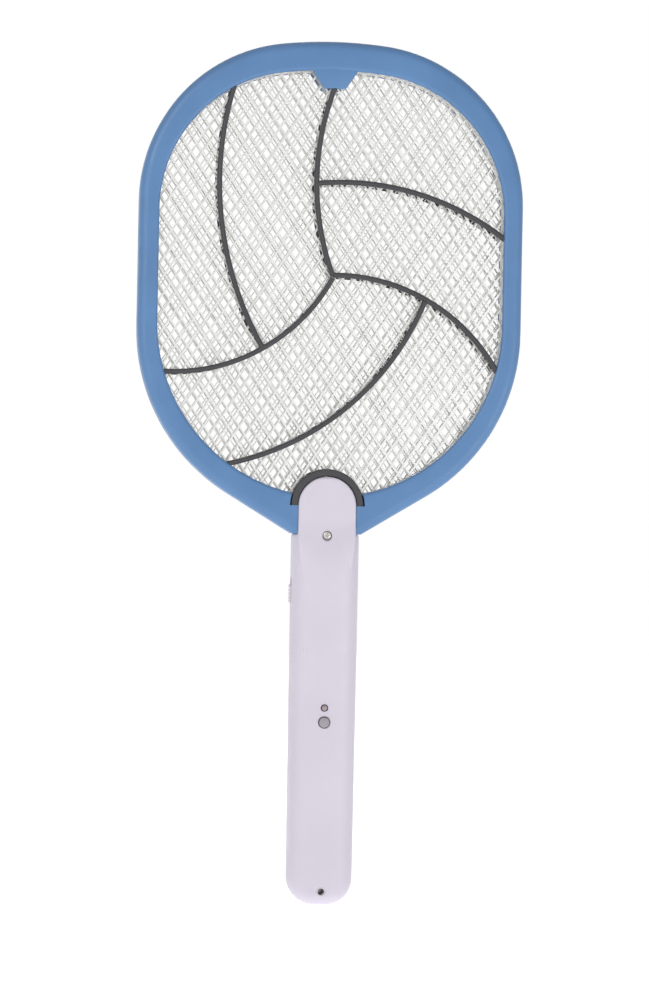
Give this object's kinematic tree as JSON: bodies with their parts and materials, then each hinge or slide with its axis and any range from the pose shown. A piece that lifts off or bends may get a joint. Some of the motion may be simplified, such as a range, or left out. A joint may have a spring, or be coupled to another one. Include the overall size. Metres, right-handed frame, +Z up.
{
  "type": "electric fly swatter",
  "caption": "Battery electric fly swatter: rounded blue head frame with three metal nets and curved dark ribs on a pale round-ended handle.",
  "frame": {"origin": "on the handle's axis in the middle of the hand, 60 mm above the butt end", "axes": "+Z up the handle to the tip of the head, +X across the head, +Y from the front face to the back face"},
  "size_m": [0.201, 0.0295, 0.45],
  "materials": {
    "blue_plastic": "smooth moulded plastic, light blue",
    "lavender_plastic": "satin moulded plastic, pale lavender white",
    "charcoal_plastic": "satin moulded plastic, charcoal",
    "net_metal": "bright expanded metal",
    "spacer_plastic": "natural white moulded plastic",
    "screw_metal": "nickel-plated steel",
    "cell_wrap": "printed shrink wrap, plain green",
    "spring_steel": "nickel-plated spring steel",
    "black_plastic": "moulded plastic, black",
    "grey_plastic": "moulded plastic, mid grey",
    "board_green": "solder mask over fibre board",
    "ferrite": "sintered ferrite",
    "winding_tape": "amber tape over copper winding",
    "resistor_body": "tan lacquer",
    "capacitor_body": "dipped epoxy, reddish brown",
    "red_insulation": "soft red wire insulation",
    "black_insulation": "soft black wire insulation",
    "lens": "tinted epoxy lens"
  },
  "bodies": {
    "root": {"front_frame": "blue_plastic", "back_frame": "blue_plastic", "front_rib_grid": "charcoal_plastic", "back_rib_grid": "charcoal_plastic", "front_net": "net_metal", "live_net": "net_metal", "back_net": "net_metal", "net_link": "spring_steel", "front_spacer": "spacer_plastic", "back_spacer": "spacer_plastic", "frame_screws": "screw_metal", "handle_front": "lavender_plastic", "handle_back": "lavender_plastic", "handle_screws": "screw_metal", "hanging_eyelet": "grey_plastic", "battery_tray": "spacer_plastic", "lower_cell": "cell_wrap", "upper_cell": "cell_wrap", "battery_spring": "spring_steel", "battery_plate": "spring_steel", "button_spring": "spring_steel", "momentary_switch": "black_plastic", "button_board": "board_green", "indicator_light": "lens", "slide_switch": "screw_metal", "circuit_board": "board_green", "board_screws": "screw_metal", "transformer_core": "ferrite", "transformer_winding": "winding_tape", "power_transistor": "black_plastic", "rectifier_diodes": "black_plastic", "discharge_resistors": "resistor_body", "storage_capacitor": "capacitor_body", "red_lead": "red_insulation", "black_lead": "black_insulation", "live_lead": "red_insulation", "ground_lead": "black_insulation"},
    "push_button": {"push_button": "grey_plastic"},
    "switch_slider": {"switch_slider": "lavender_plastic"},
    "battery_door": {"battery_door": "lavender_plastic"}
  },
  "joints": [
    {"name": "push_button_press", "type": "slide", "parent": "root", "child": "push_button", "axis": [0, 1, 0], "range_m": [0, 0.001], "stiffness_N_per_m": 1500, "springref_m": -0.0005, "deforming": ["button_spring"]},
    {"name": "power_switch_slide", "type": "slide", "parent": "root", "child": "switch_slider", "axis": [0, 0, 1], "range_m": [0, 0.0035]},
    {"name": "battery_door_hinge", "type": "hinge", "parent": "root", "child": "battery_door", "pos_m": [0, 0.013, 0.0637], "axis": [1, 0, 0], "range_deg": [0, 75]}
  ]
}
